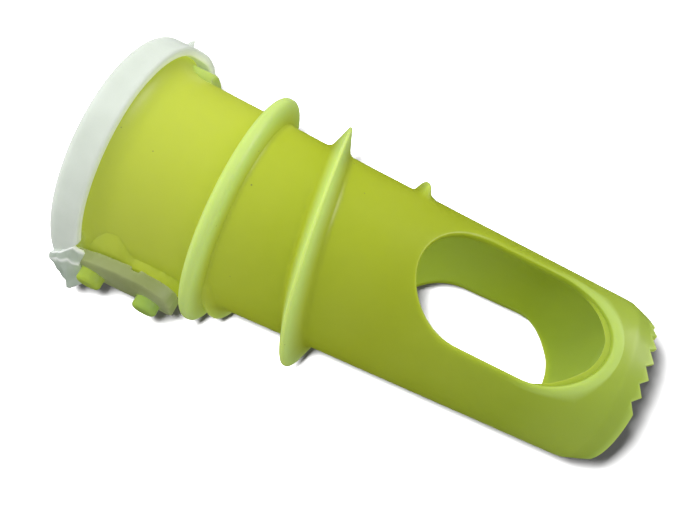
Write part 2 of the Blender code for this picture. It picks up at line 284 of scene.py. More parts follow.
def outer_rows():
    """Places of the outside's rings of points, from the mouth to the window patch."""
    rows = [COLLAR_START + LIP_ROUND, (COLLAR_START + COLLAR_LAND_END) / 2, COLLAR_LAND_END - 0.12]
    flare = COLLAR_END - COLLAR_LAND_END
    rows += [COLLAR_END - flare * math.cos(math.radians(90) * step / 9) for step in range(9)]
    rows += even(COLLAR_END, DENSE_START, 12)
    first = math.ceil((DENSE_START - THREAD_X) / ROW)
    last = math.floor((DENSE_END - THREAD_X) / ROW)
    rows += [THREAD_X + step * ROW for step in range(first, last + 1)]
    return rows


def rim_x(angle):
    """Where the rim ends: teeth with a short and a long flank, and a plain lip between the arcs."""
    for start in TOOTHED_STARTS:
        along = (angle - start + 1e-7) % (2 * math.pi)
        if along < TEETH * TOOTH_PITCH:
            place = along % TOOTH_PITCH
            drop = min(place / TOOTH_FLANK, (TOOTH_PITCH - place) / (TOOTH_PITCH - TOOTH_FLANK))
            return LENGTH - TOOTH_DEPTH * drop
    return LENGTH


def rim_angles():
    """The rim's points: close together at each tooth's peak and root, even over the lips."""
    angles = []
    nudge = math.radians(0.35)
    lip = math.pi - TEETH * TOOTH_PITCH
    for start in TOOTHED_STARTS:
        for tooth in range(TEETH):
            peak = start + tooth * TOOTH_PITCH
            root = peak + TOOTH_FLANK
            angles += [peak, peak + nudge, root - nudge, root, root + nudge]
            angles += [root + (TOOTH_PITCH - TOOTH_FLANK) * share for share in (0.35, 0.7)]
            angles.append(peak + TOOTH_PITCH - nudge)
        angles += [start + TEETH * TOOTH_PITCH + lip * step / 24 for step in range(24)]
    return sorted(angle % (2 * math.pi) for angle in angles)


def window_hit(x, side):
    """Where the ray from the window's middle through this offset meets its outline, and
    the outline's normal there. The outline is two straight sides with half ellipses."""
    straight = WINDOW_HALF_LENGTH - WINDOW_END
    if abs(side) > 1e-9:
        reach = WINDOW_HALF_WIDTH / abs(side)
        if abs(x) * reach <= straight:
            return x * reach, side * reach, 0.0, math.copysign(1.0, side)
    square = (x / WINDOW_END) ** 2 + (side / WINDOW_HALF_WIDTH) ** 2
    linear = abs(x) * straight / WINDOW_END ** 2
    rest = (straight / WINDOW_END) ** 2 - 1
    reach = (linear + math.sqrt(linear * linear - square * rest)) / square
    hit_x, hit_side = x * reach, side * reach
    normal_x = math.copysign(abs(hit_x) - straight, x) / WINDOW_END ** 2
    normal_side = hit_side / WINDOW_HALF_WIDTH ** 2
    size = math.hypot(normal_x, normal_side)
    return hit_x, hit_side, normal_x / size, normal_side / size


class BodyMesh:
    """The lime moulding's one closed skin, built ring by ring."""

    def __init__(self):
        self.builder = bmesh.new()
        self.painted_light_and_creases = self.builder.verts.layers.float.new("painted_light_and_creases")

    def vert(self, place, painted_light_and_creases=0.0):
        made = self.builder.verts.new(place)
        made[self.painted_light_and_creases] = painted_light_and_creases
        return made

    def ring(self, x, radius, angles=None, change=0.0):
        """A ring of points; x and radius may be functions of the angle."""
        made = []
        for angle in angles or [STEP * column for column in range(COLUMNS)]:
            at = x(angle) if callable(x) else x
            out = radius(angle) if callable(radius) else radius
            # Painted glow and highlight: the further a ridge stands out, the paler its points are painted.
            proud = out - cone_radius(at) if DENSE_START < at < DENSE_END else 0.0
            made.append(self.vert(point(at, out + change, angle), min(max(proud / PROUD_FULL, 0.0), 1.0)))
        return made

    def band(self, first, second, skip=(), slanted=False):
        """Faces between two rings, except at the columns to skip."""
        count = len(first)
        for column in range(count):
            if column in skip:
                continue
            after = (column + 1) % count
            if slanted:
                self.builder.faces.new((first[column], first[after], second[after]))
                self.builder.faces.new((first[column], second[after], second[column]))
            else:
                self.builder.faces.new((first[column], first[after], second[after], second[column]))

    def toothed_band(self, plain, toothed, angles):
        """Faces between a plain ring and a rim ring whose points stand at these angles."""
        place, last = 0, len(toothed)
        for column in range(COLUMNS):
            after = (column + 1) % COLUMNS
            start = place
            while place < last and angles[place] <= STEP * (column + 1) + 1e-9:
                place += 1
            reached = [toothed[index % last] for index in range(start - 1, place)]
            self.builder.faces.new((plain[column], plain[after], reached[-1]))
            for near, far in zip(reached, reached[1:]):
                self.builder.faces.new((plain[column], far, near))

    def strip(self, first, second):
        """Faces between two closed loops of the same count."""
        for index in range(len(first)):
            after = (index + 1) % len(first)
            self.builder.faces.new((first[index], first[after], second[after], second[index]))


def patch_columns(middle):
    """The columns whose faces a window's patch replaces."""
    return {(middle + offset) % COLUMNS for offset in range(-WINDOW_COLUMNS, WINDOW_COLUMNS)}


def patch_edge(row_count):
    """The patch's edge as (row, column offset) pairs, once round."""
    wide = WINDOW_COLUMNS
    edge = [(0, offset) for offset in range(-wide, wide)]
    edge += [(row, wide) for row in range(row_count - 1)]
    edge += [(row_count - 1, offset) for offset in range(wide, -wide, -1)]
    edge += [(row, -wide) for row in range(row_count - 1, 0, -1)]
    return edge


def curve_between(start, corner, end, steps):
    """Points along a rounded corner, after its start."""
    made = []
    for step in range(1, steps + 1):
        share = step / steps
        made.append(start * (1 - share) ** 2 + corner * 2 * share * (1 - share) + end * share ** 2)
    return made


def window_sections(x_edge, offset):
    """For one point of the patch's edge: the points from the outside, over the window's
    rounded edge and wall, to the inside, as (along, sideways, outwards) in millimetres."""
    turn = STEP * offset
    radius = cone_radius(x_edge)
    x, side, normal_x, normal_side = window_hit(x_edge - WINDOW_X, radius * math.sin(turn))

    def on_skin(distance, sunk):
        at = WINDOW_X + x + normal_x * distance
        across = side + normal_side * distance
        return Vector((at, across, math.sqrt((cone_radius(at) - sunk) ** 2 - across ** 2)))

    def towards_edge(place, sunk, share):
        angle = math.asin(place.y / (cone_radius(place.x) - sunk))
        at = place.x + (x_edge - place.x) * share
        now = angle + (turn - angle) * share
        out = (outer_radius(at, now % (2 * math.pi)) if sunk == 0.0 else cone_radius(at) - sunk)
        return Vector((at, out * math.sin(now), out * math.cos(now)))

    toward = WINDOW_ROUND_TIP if normal_x > 0 else WINDOW_ROUND_MOUTH
    rounding = WINDOW_ROUND + (toward - WINDOW_ROUND) * smooth(abs(normal_x) * 1.2 - 0.1)
    start, corner = on_skin(rounding, 0.0), on_skin(0.0, 0.0)
    draft = WINDOW_DRAFT * smooth(1.3 * normal_x + 0.2 * normal_side - 0.1)
    draft *= 1 + 0.12 * noise.noise(Vector((x * 0.45, side * 0.45, 2.0)))
    inner_corner, inner_start = on_skin(-draft, WALL), on_skin(WINDOW_INNER_ROUND - draft, WALL)
    wall_top = corner - Vector((0, 0, min(rounding, 1.45)))
    wall_end = inner_corner + Vector((0, 0, WINDOW_INNER_ROUND))
    sections = [towards_edge(start, 0.0, 1 - step / PATCH_LOOPS) for step in range(1, PATCH_LOOPS)]
    sections.append(start)
    sections += curve_between(start, corner, wall_top, 5)
    sections.append(wall_end)
    sections += curve_between(wall_end, inner_corner, inner_start, 3)
    sections.append(towards_edge(inner_start, WALL, 0.5))
    return sections


def edge_painted_highlight(place, number):
    """Painted highlight: the window's rounded edge is painted pale towards the tip, with a fine painted
    highlight line at its inner edge.
    """
    tip_end = smooth((place.x - WINDOW_X) / WINDOW_HALF_LENGTH)
    outer = 0.5 * tip_end if PATCH_LOOPS <= number < PATCH_LOOPS + 4 else 0.0
    inner = 0.7 * tip_end if number == PATCH_LOOPS + 7 else 0.0
    return outer + inner


def add_window(body, middle, outside, inside, rows):
    """Fills one patch of the skin with a window: outside and inside are the patch's rows of rings."""
    turned = STEP * middle
    loops = None
    edge = patch_edge(len(rows))
    for row, offset in edge:
        column = (middle + offset) % COLUMNS
        made = [outside[row][column]]
        for place in window_sections(rows[row], offset):
            y = -(place.y * math.cos(turned) + place.z * math.sin(turned))
            z = place.z * math.cos(turned) - place.y * math.sin(turned)
            made.append(body.vert(Vector((place.x, y, z)) * MM, edge_painted_highlight(place, len(made))))
        made.append(inside[row][column])
        loops = loops or [[] for place in made]
        for loop, vert in zip(loops, made):
            loop.append(vert)
    for first, second in zip(loops, loops[1:]):
        body.strip(first, second)


def build_body():
    body = BodyMesh()
    patch_rows = even(outer_rows()[-1], PATCH_END, PATCH_ROWS)
    rings = [body.ring(COLLAR_START, lambda a: outer_radius(COLLAR_START, a), change=-LIP_ROUND)]
    lip = COLLAR_START + 0.3 * LIP_ROUND
    rings.append(body.ring(lip, lambda a: outer_radius(lip, a), change=-0.3 * LIP_ROUND))
    rings += [body.ring(x, lambda a, x=x: outer_radius(x, a)) for x in outer_rows()]
    for first, second in zip(rings, rings[1:]):
        body.band(first, second, slanted=True)
    outside = [rings[-1]] + [body.ring(x, lambda a, x=x: outer_radius(x, a)) for x in patch_rows[1:]]
    inside = [body.ring(x, inner_radius(x)) for x in patch_rows]
    windows = (0, COLUMNS // 2)
    holes = patch_columns(windows[0]) | patch_columns(windows[1])
    for rows in (outside, inside):
        for first, second in zip(rows, rows[1:]):
            body.band(first, second, skip=holes)
    for middle in windows:
        add_window(body, middle, outside, inside, patch_rows)

    def rim_outer(angle):
        root = LENGTH - TOOTH_DEPTH
        share = (rim_x(angle) - root) / TOOTH_DEPTH
        return ROOT_RADIUS + (RIM_RADIUS - ROOT_RADIUS) * share

    tip = [outside[-1]]
    for past, sunk in ((-0.7, 0.0), (-0.2, 0.04), (0.3, 0.16), (0.8, 0.35)):
        tip.append(body.ring(SHOULDER + past, cone_radius(SHOULDER) - sunk))
    tip.append(body.ring(ROOT_X, ROOT_RADIUS))
    for first, second in zip(tip, tip[1:]):
        body.band(first, second)
    angles = rim_angles()
    steps = [(-RIM_ROUND, 0.0), (-0.3 * RIM_ROUND, -0.3 * RIM_ROUND), (0.0, -RIM_ROUND)]
    steps += [(0.0, RIM_ROUND - RIM_WALL), (-0.3 * RIM_ROUND, 0.3 * RIM_ROUND - RIM_WALL)]
    steps.append((-RIM_ROUND, -RIM_WALL))
    rims = [body.ring(lambda a, back=back: rim_x(a) + back, rim_outer, angles, inward)
            for back, inward in steps]
    # The rim's points get a painted highlight line.
    for ring in rims:
        for vert in ring:
            vert[body.painted_light_and_creases] = RIM_PAINTED_HIGHLIGHT
    body.toothed_band(tip[-1], rims[0], angles)
    for first, second in zip(rims, rims[1:]):
        body.strip(first, second)
    bore = [body.ring(ROOT_X - 0.6, RIM_RADIUS - RIM_WALL + 0.45)]
    bore.append(body.ring(RIM_CHAMFER_X, inner_radius(RIM_CHAMFER_X)))
    body.toothed_band(bore[0], rims[-1], angles)
    bore.append(inside[-1])
    for x in reversed(even(COLLAR_START + 0.3, patch_rows[0], 18)[:-1]):
        bore.append(body.ring(x, inner_radius(x)))
    bore.append(body.ring(COLLAR_START, inner_radius(COLLAR_START) + 0.3))
    bore.append(rings[0])
    for first, second in zip(bore[:3], bore[1:3]):
        body.band(first, second)
    body.band(inside[0], bore[3])
    for first, second in zip(bore[3:], bore[4:]):
        body.band(first, second)
    # Painted glow on the bore's wall, fading out towards the tip.
    for vert in body.builder.verts:
        x, y, z = vert.co / MM
        if x < SHOULDER and math.hypot(y, z) < inner_radius(x) + 0.3:
            vert[body.painted_light_and_creases] += INNER_GLOW * smooth((INNER_GLOW_END - x) / INNER_GLOW_FADE)
    return body.builder


def add_object(name, builder, material, smooth_angle=40):
    """A smooth-shaded object from a bmesh, in metres."""
    bmesh.ops.recalc_face_normals(builder, faces=builder.faces)
    mesh = bpy.data.meshes.new(name)
    builder.to_mesh(mesh)
    builder.free()
    piece = bpy.data.objects.new(name, mesh)
    bpy.context.scene.collection.objects.link(piece)
    mesh.materials.append(material)
    mesh.shade_smooth()
    mesh.set_sharp_from_angle(angle=math.radians(smooth_angle))
    return piece


def loft(sections, closed_round=False):
    """A skin over rings of points with the same count, with flat ends unless it closes on itself."""
    builder = bmesh.new()
    rings = [[builder.verts.new(place) for place in section] for section in sections]
    pairs = list(zip(rings, rings[1:]))
    if closed_round:
        pairs.append((rings[-1], rings[0]))
    for ring, following in pairs:
        for index in range(len(ring)):
            after = (index + 1) % len(ring)
            builder.faces.new((ring[index], ring[after], following[after], following[index]))
    if not closed_round:
        builder.faces.new(rings[0])
        builder.faces.new(list(reversed(rings[-1])))
    return builder


# ---------------------------------------------------------------- materials

def principled(name, colour, roughness):
    material = bpy.data.materials.new(name)
    material.use_nodes = True
    material.diffuse_color = (*colour, 1.0)
    shader = material.node_tree.nodes["Principled BSDF"]
    shader.inputs["Base Color"].default_value = (*colour, 1.0)
    shader.inputs["Roughness"].default_value = roughness
    return material, material.node_tree, shader


def add_node(tree, kind, **values):
    """A node, with its inputs set by name."""
    made = tree.nodes.new(kind)
    for name, value in values.items():
        made.inputs[name.replace("_", " ")].default_value = value
    return made


def add_noise(tree, place, scale, detail=2.0):
    """Object-space noise at this many cells a metre."""
    pattern = add_node(tree, "ShaderNodeTexNoise", Scale=scale, Detail=detail)
    tree.links.new(place, pattern.inputs["Vector"])
    return pattern.outputs["Fac"]


def add_range(tree, value, from_low, from_high, to_low, to_high):
    scaled = add_node(tree, "ShaderNodeMapRange")
    for index, number in enumerate((from_low, from_high, to_low, to_high)):
        scaled.inputs[index + 1].default_value = number
    tree.links.new(value, scaled.inputs[0])
    return scaled.outputs[0]


def add_mix(tree, share, first, second):
    """Mixes two colours, each a tuple or a socket."""
    mixed = tree.nodes.new("ShaderNodeMix")
    mixed.data_type = "RGBA"
    tree.links.new(share, mixed.inputs[0])
    for socket, colour in ((mixed.inputs[6], first), (mixed.inputs[7], second)):
        if isinstance(colour, tuple):
            socket.default_value = (*colour, 1.0)
        else:
            tree.links.new(colour, socket)
    return mixed.outputs[2]


def add_bump(tree, shader, height, strength, distance):
    bump = add_node(tree, "ShaderNodeBump", Strength=strength, Distance=distance)
    tree.links.new(height, bump.inputs["Height"])
    tree.links.new(bump.outputs["Normal"], shader.inputs["Normal"])


def add_specks(tree, place, scale, size):
    """A few fine dust specks: 1 on a speck, 0 elsewhere."""
    cells = add_node(tree, "ShaderNodeTexVoronoi", Scale=scale)
    tree.links.new(place, cells.inputs["Vector"])
    return add_range(tree, cells.outputs["Distance"], size * 0.6, size, 1.0, 0.0)


# The moulding's colour at places along the bore, in metres: milky at the mouth, olive in the middle,
# greener at the tip.
# The paler, brighter mouth end and the brighter tip are partly painted light, where the light falls
# stronger on them.
LIME_TONE_AND_PAINTED_LIGHT = (
    (0.005, (0.490, 0.560, 0.066)),
    (0.022, (0.475, 0.545, 0.052)),
    (0.038, (0.385, 0.455, 0.020)),
    (0.062, (0.320, 0.385, 0.012)),
    (0.090, (0.295, 0.382, 0.024)),
    (0.110, (0.330, 0.440, 0.062)),
)


def add_stops(tree, value, stops, last):
    """A colour ramp over a length, in metres."""
    ramp = tree.nodes.new("ShaderNodeValToRGB")
    ends = ramp.color_ramp.elements
    while len(ends) < len(stops):
        ends.new(0.5)
    for end, (place, colour) in zip(ends, stops):
        end.position = place / last
        end.color = (*colour, 1.0)
    tree.links.new(add_range(tree, value, 0.0, last, 0.0, 1.0), ramp.inputs[0])
    return ramp.outputs[0]


def make_lime(name, stops, painted_glow_colour, roughness):
    """Lime moulded plastic: cloudy tone along a ramp that is partly painted light, painted glow and
    highlight on crests and edges, dust and a fine satin grain.
    """
    material, tree, shader = principled(name, stops[1][1], roughness)
    place = tree.nodes.new("ShaderNodeTexCoord").outputs["Object"]
    split = tree.nodes.new("ShaderNodeSeparateXYZ")
    tree.links.new(place, split.inputs[0])
    deep = add_stops(tree, split.outputs["X"], stops, LENGTH * MM)
    clouds = add_range(tree, add_noise(tree, place, 42.0), 0.35, 0.65, 0.0, 0.12)
    colour = add_mix(tree, clouds, deep, (0.50, 0.58, 0.07))
    # Painted glow and highlight, from the per-point paleness attribute.
    painted_light_and_creases = tree.nodes.new("ShaderNodeAttribute")
    painted_light_and_creases.attribute_name = "painted_light_and_creases"
    share = add_range(tree, painted_light_and_creases.outputs["Fac"], 0.05, 0.85, 0.0, 0.85)
    colour = add_mix(tree, share, colour, painted_glow_colour)
    colour = add_mix(tree, add_specks(tree, place, 150.0, 0.03), colour, (0.2, 0.21, 0.06))
    tree.links.new(colour, shader.inputs["Base Color"])
    grain = add_noise(tree, place, 900.0, 4.0)
    scuffs = add_noise(tree, place, 120.0, 3.0)
    gloss = add_range(tree, scuffs, 0.3, 0.7, roughness - 0.05, roughness + 0.07)
    tree.links.new(gloss, shader.inputs["Roughness"])
    add_bump(tree, shader, grain, 0.06, 0.0002)
    shader.inputs["Subsurface Weight"].default_value = 0.6
    shader.inputs["Subsurface Radius"].default_value = (1.0, 1.0, 0.25)
    shader.inputs["Subsurface Scale"].default_value = 0.003
    shader.inputs["IOR"].default_value = 1.48
    shader.inputs["Specular IOR Level"].default_value = 0.6
    return material


def make_milky(name, deep, pale, transmission, creases_and_painted_highlight):
    """Soft milky plastic with flow clouds, a scuffed satin surface, paler stressed creases and painted
    highlight lines.
    """
    material, tree, shader = principled(name, pale, 0.42)
    place = tree.nodes.new("ShaderNodeTexCoord").outputs["Object"]
    clouds = add_range(tree, add_noise(tree, place, 95.0, 3.0), 0.35, 0.65, 0.0, 1.0)
    colour = add_mix(tree, clouds, deep, pale)
    # Real crease whitening on the hinge web, and a painted highlight on the cap's skirt edge.
    painted_light_and_creases = tree.nodes.new("ShaderNodeAttribute")
    painted_light_and_creases.attribute_name = "painted_light_and_creases"
    colour = add_mix(tree, painted_light_and_creases.outputs["Fac"], colour, creases_and_painted_highlight)
    colour = add_mix(tree, add_specks(tree, place, 210.0, 0.025), colour, (0.3, 0.3, 0.24))
    tree.links.new(colour, shader.inputs["Base Color"])
    gloss = add_range(tree, add_noise(tree, place, 260.0, 3.0), 0.3, 0.7, 0.32, 0.5)
    tree.links.new(gloss, shader.inputs["Roughness"])
    add_bump(tree, shader, add_noise(tree, place, 380.0, 3.0), 0.12, 0.0004)
    shader.inputs["Subsurface Weight"].default_value = 0.5
    shader.inputs["Subsurface Radius"].default_value = (1.0, 1.0, 0.9)
    shader.inputs["Subsurface Scale"].default_value = 0.003
    shader.inputs["Transmission Weight"].default_value = transmission
    shader.inputs["IOR"].default_value = 1.45
    shader.inputs["Specular IOR Level"].default_value = 0.35
    return material


# the colour of the painted glow and highlight on crests, rims and edges
GLOW_AND_HIGHLIGHT_LIME = (0.53, 0.69, 0.22)
PEG_STOPS = ((0.005, (0.30, 0.40, 0.05)), (0.012, (0.30, 0.40, 0.05)), (0.022, (0.25, 0.385, 0.075)))
NOSE_STOPS = ((0.005, (0.40, 0.51, 0.14)), (0.022, (0.40, 0.51, 0.14)))
LIME = make_lime("lime_moulding", LIME_TONE_AND_PAINTED_LIGHT, GLOW_AND_HIGHLIGHT_LIME, 0.38)
LIME_NOSE = make_lime("lime_nose", NOSE_STOPS, GLOW_AND_HIGHLIGHT_LIME, 0.45)
LIME_PEG = make_lime("lime_pegs", PEG_STOPS, (0.45, 0.55, 0.2), 0.5)
MILKY = make_milky("milky_moulding", (0.575, 0.625, 0.56), (0.63, 0.68, 0.62), 0.0, (0.84, 0.88, 0.8))
MILKY_STRAP = make_milky("milky_strap", (0.235, 0.27, 0.085), (0.30, 0.34, 0.16), 0.15, (0.8, 0.82, 0.75))
MILKY_WEB = make_milky("milky_hinge", (0.36, 0.42, 0.36), (0.46, 0.52, 0.46), 0.1, (0.85, 0.88, 0.85))


# ---------------------------------------------------------------- pieces

def arc_points(middle_x, middle_y, radius, start_deg, end_deg, steps):
    """Points of an arc, as (x, y) pairs."""
    made = []
    for step in range(steps + 1):
        angle = math.radians(start_deg + (end_deg - start_deg) * step / steps)
        made.append((middle_x + radius * math.cos(angle), middle_y + radius * math.sin(angle)))
    return made


STRAP_INNER = PAD_FACE + 0.3
STRAP_OUTER = -STRAP_LOW.y + 0.7
STRAP_START_HALF = 3.5                # half the tongue's width at the hinge
STRAP_BELLY_X = 15.5
STRAP_BELLY_HALF = 6.1
STRAP_TIP_HALF = 2.4
STRAP_EDGE_ROUND = 0.45
PAD_INSET = 2.6                       # how far inside the tongue's edge the seat starts to fall
PAD_RUN_OUT = 1.3                     # how far it takes to fall to the tube
PAD_BOSS = 6.3                        # and how much further about the front peg
PAD_BOSS_END = 15.0
SLIT_LOW = Vector((15.6, -22.2, 2.4))  # corners of the short open slit under the tongue's edge
SLIT_HIGH = Vector((17.3, -21.4, 6.6))
PEG_ROUND = 0.8
LUG_ROUND = 0.7


def strap_half(x):
    """Half the tongue's width: it swells from the hinge to its belly, then narrows to a round tip."""
    if x < STRAP_BELLY_X:
        share = min((STRAP_BELLY_X - x) / (STRAP_BELLY_X - STRAP_LOW.x), 1.0)
        return STRAP_BELLY_HALF - (STRAP_BELLY_HALF - STRAP_START_HALF) * share ** 1.7
    share = min((x - STRAP_BELLY_X) / (STRAP_HIGH.x - STRAP_BELLY_X), 1.0)
    return STRAP_TIP_HALF + (STRAP_BELLY_HALF - STRAP_TIP_HALF) * math.sqrt(1 - share ** 2.6)


def add_pad():
    """The strap's seat: a saddle under the tongue that runs out gently over the tube."""
    middle, reach = math.radians(90), math.radians(35)
    sections = []
    for x in even(COLLAR_START + 0.15, PAD_HIGH.x - 0.1, 46):
        upper, lower = [], []
        for share in even(-1.0, 1.0, 56):
            angle = middle + reach * share
            across = reach * share * PAD_FACE
            run_out = PAD_RUN_OUT + PAD_BOSS * smooth((PAD_BOSS_END - x) / 4)
            height = smooth(1 - (abs(across) - strap_half(x) + PAD_INSET) / run_out)
            base = cone_radius(x) - 0.04
            upper.append(point(x, base + (PAD_FACE - base) * height, angle))
            lower.append(point(x, base - 0.9, angle))
        sections.append(upper + list(reversed(lower)))
    return add_object("strap_seat", loft(sections), LIME)


def slit_block(name):
    builder = bmesh.new()
    bmesh.ops.create_cube(builder, size=1.0)
    bmesh.ops.scale(builder, vec=(SLIT_HIGH - SLIT_LOW) * MM, verts=builder.verts)
    bmesh.ops.translate(builder, vec=(SLIT_HIGH + SLIT_LOW) / 2 * MM, verts=builder.verts)
    return add_object(name, builder, LIME)


def add_pegs():
    made = []
    for name, (low, high) in zip(("front_peg", "rear_peg"), PEGS):
        radius = (high.x - low.x) / 2
        middle = (low.x + high.x) / 2
        tip = -low.y
        profile = [(radius + 0.3, PAD_FACE - 0.9), (radius + 0.05, PAD_FACE + 0.2)]
        profile += [(radius, PAD_FACE + 0.9), (radius - 0.04, tip - 1.4)]
        profile += arc_points(radius - PEG_ROUND, tip - PEG_ROUND, PEG_ROUND, 0, 80, 5)
        profile += [(0.9, tip - 0.04), (0.35, tip - 0.12)]
        sections = []
        for out, along in profile:
            ring = []
            for step in range(40):
                angle = 2 * math.pi * step / 40
                wobble = 1 + 0.012 * math.sin(2 * angle + 1.1) + 0.008 * math.sin(3 * angle)
                x = middle + out * wobble * math.cos(angle)
                z = out * wobble * math.sin(angle)
                ring.append(Vector((x, -along, z)) * MM)
            sections.append(ring)
        made.append(add_object(name, loft(sections), LIME_PEG))
    return made


def add_lug():
    """A rounded block that follows the tube, under the pull tab."""
    half_arc = math.asin(LUG_HIGH.z / LUG_HIGH.y)
    middle = math.radians(-90)
    sections = []
    for step in range(25):
        share = step / 24 * 2 - 1
        end = math.sqrt(max(1 - abs(share) ** 6, 0.0))
        angle = middle + (half_arc + math.radians(1.5)) * share
        top = LUG_HIGH.y - (1 - end) * 1.5
        low_x, high_x = COLLAR_LAND_END - 0.7, LUG_HIGH.x - (1 - end) * 0.5
        outline = [(low_x, cone_radius(low_x) - 0.5), (low_x, top - 0.3), (low_x + 0.3, top)]
        outline += list(reversed(arc_points(high_x - LUG_ROUND, top - LUG_ROUND, LUG_ROUND, 0, 90, 5)))
        outline += [(high_x + 0.05, cone_radius(high_x) + 0.7), (high_x + 0.35, cone_radius(high_x) + 0.2)]
        outline += [(high_x + 0.8, cone_radius(high_x) - 0.1), (high_x, cone_radius(high_x) - 0.5)]
        sections.append([point(x, radius, angle) for x, radius in outline])
    return add_object("latch_nose", loft(sections), LIME_NOSE)


def apply_modifiers(piece):
    """Gives the piece the mesh that its modifiers make, and removes them."""
    bpy.context.view_layer.update()
    graph = bpy.context.evaluated_depsgraph_get()
    mesh = bpy.data.meshes.new_from_object(piece.evaluated_get(graph))
    piece.modifiers.clear()
    old = piece.data
    piece.data = mesh
    bpy.data.meshes.remove(old)


def soften(piece, voxel, passes, bumps, bump_scale, seed):
    """Turns a hard block into a soft moulding: voxel remesh, smoothing and slight unevenness."""
    remesh = piece.modifiers.new("remesh", "REMESH")
    remesh.mode = "VOXEL"
    remesh.voxel_size = voxel * MM
    relax = piece.modifiers.new("relax", "SMOOTH")
    relax.factor = 0.5
    relax.iterations = passes
    apply_modifiers(piece)
    for vert in piece.data.vertices:
        drift = noise.noise_vector(vert.co * bump_scale + Vector((seed, seed, seed)))
        vert.co += drift * bumps * MM
    piece.data.shade_smooth()
    return piece


def cut_with(piece, cutters):
    """Cuts the cutters from the piece, and removes them."""
    for cutter in cutters:
        boolean = piece.modifiers.new("cut", "BOOLEAN")
        boolean.operation = "DIFFERENCE"
        boolean.solver = "EXACT"
        boolean.object = cutter
    apply_modifiers(piece)
    for cutter in cutters:
        bpy.data.objects.remove(cutter, do_unlink=True)


def peg_bar(name, middle, radius, near, far):
    builder = bmesh.new()
    bmesh.ops.create_cone(builder, cap_ends=True, segments=40, radius1=radius * MM, radius2=radius * MM,
                          depth=(far - near) * MM)
    bmesh.ops.rotate(builder, matrix=Matrix.Rotation(math.radians(90), 3, "X"), verts=builder.verts)
    bmesh.ops.translate(builder, vec=(middle * MM, -(near + far) / 2 * MM, 0.0), verts=builder.verts)
    return add_object(name, builder, LIME_PEG)


def add_strap():
    """The soft tongue wrapped on its seat, with its two holes pulled over the pegs."""
    middle = math.radians(90)
    sections = []
    for x in even(STRAP_LOW.x - 0.5, STRAP_HIGH.x, 30):
        half = strap_half(max(x, STRAP_LOW.x))
        lift = 0.25 * smooth((x - 19) / 6)
        turns = [math.asin(half / STRAP_OUTER) * share for share in even(-1.0, 1.0, 14)]
        outer = STRAP_OUTER - 0.5 * smooth((9.0 - x) / 5)
        section = []
        for turn in turns:
            rounded = STRAP_EDGE_ROUND * (turn / turns[-1]) ** 8
            section.append(point(x, outer + lift - rounded, middle + turn))
        section += [point(x, STRAP_INNER, middle + turn) for turn in reversed(turns)]
        sections.append(section)
    strap = add_object("retaining_tongue", loft(sections), MILKY_STRAP)
    cutters = []
    for number, (peg_low, peg_high) in enumerate(PEGS):
        radius = (peg_high.x - peg_low.x) / 2
        middle_x = (peg_low.x + peg_high.x) / 2
        cutters.append(peg_bar(f"hole_{number}", middle_x, radius + 0.1, PAD_FACE - 2.5, STRAP_OUTER + 2))
    cutters.append(slit_block("strap_slit"))
    cut_with(strap, cutters)
    return soften(strap, 0.24, 2, bumps=0.09, bump_scale=240.0, seed=3.0)


CAP_EDGE = 1.4
CAP_SKIRT_INNER = 23.6
CAP_DISC = 1.8
CAP_COLUMNS = 180
NOTCH_DEG = 20.2
NOTCH_START = 9.0                     # the skirt is cut back aslant from here
TAB_END = TAB_HIGH.x - 0.8
TAB_DEG = math.degrees(math.asin(TAB_HIGH.z / TAB_HIGH.y))


def skirt_reach(angle):
    """How far the skirt reaches at this angle, as a share of its plain length: it is cut
    back at the hinge and runs on as the pull tab on the far side."""
    turn = math.degrees(angle) % 360
    at_hinge = abs(turn - 90)
    at_tab = abs(turn - 270)
    plain = CAP_HIGH.x - CAP_DISC
    if at_hinge < NOTCH_DEG + 1.2:
        share = min(max((at_hinge - NOTCH_START) / (NOTCH_DEG + 1.2 - NOTCH_START), 0.0), 1.0)
        return 0.08 + 0.92 * share ** 1.3
    long = (TAB_END - CAP_DISC) / plain
    return 1 + (long - 1) * smooth((TAB_DEG + 9 - at_tab) / 12)


